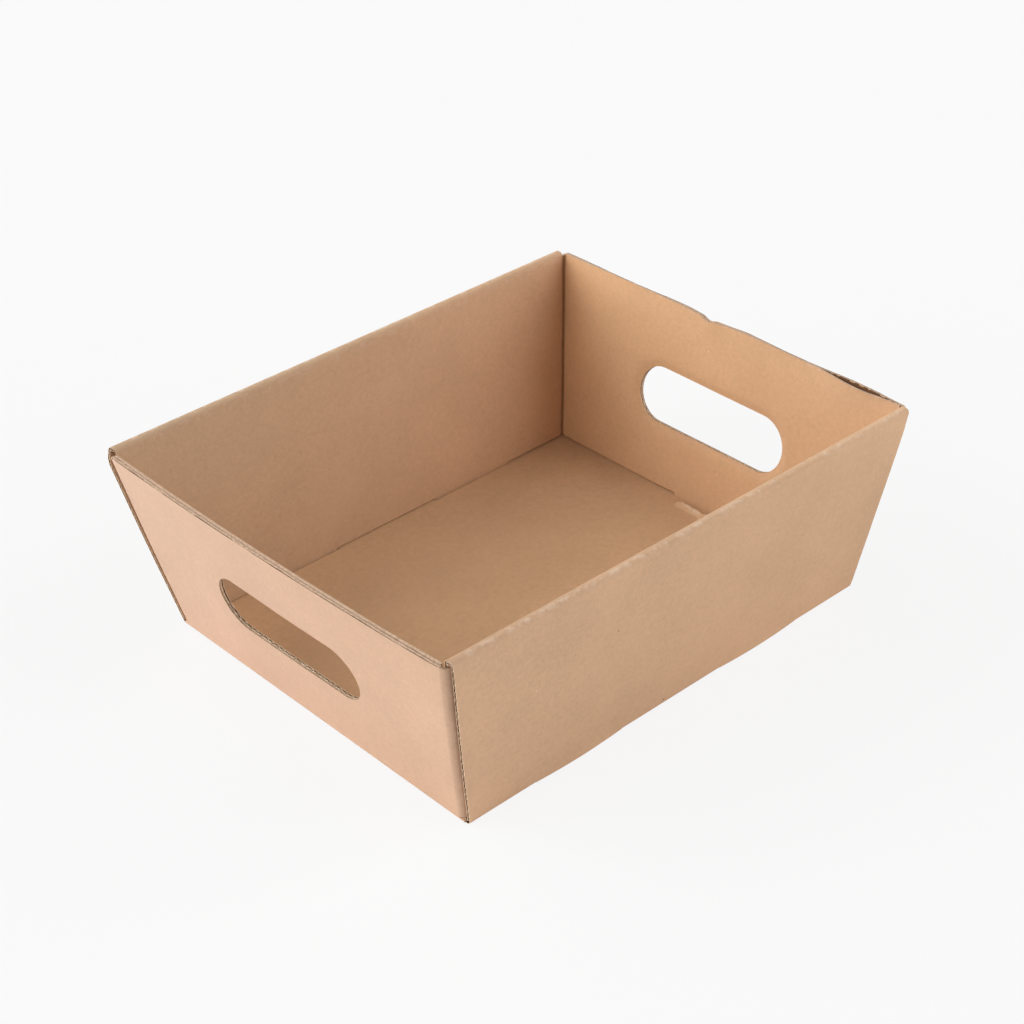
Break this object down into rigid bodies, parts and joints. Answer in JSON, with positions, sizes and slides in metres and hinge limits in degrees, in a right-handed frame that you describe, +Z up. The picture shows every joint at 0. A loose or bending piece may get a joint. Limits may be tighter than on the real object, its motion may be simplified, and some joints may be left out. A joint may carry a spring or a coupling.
{
  "type": "cardboard tray box",
  "caption": "Open rectangular corrugated board tray with flared double walls, a rolled flat rim on the long sides and a rounded hand slot through each end.",
  "frame": {"origin": "middle of the base's underside, on the surface the tray stands on", "axes": "+X along the tray's length, through the hand slots; +Y across its width; +Z up"},
  "size_m": [0.2644, 0.2144, 0.09],
  "materials": {
    "kraft_board": "uncoated brown kraft liner, matt, with open flutes at the raw edges"
  },
  "bodies": {
    "root": {"tray": "kraft_board"}
  },
  "joints": []
}
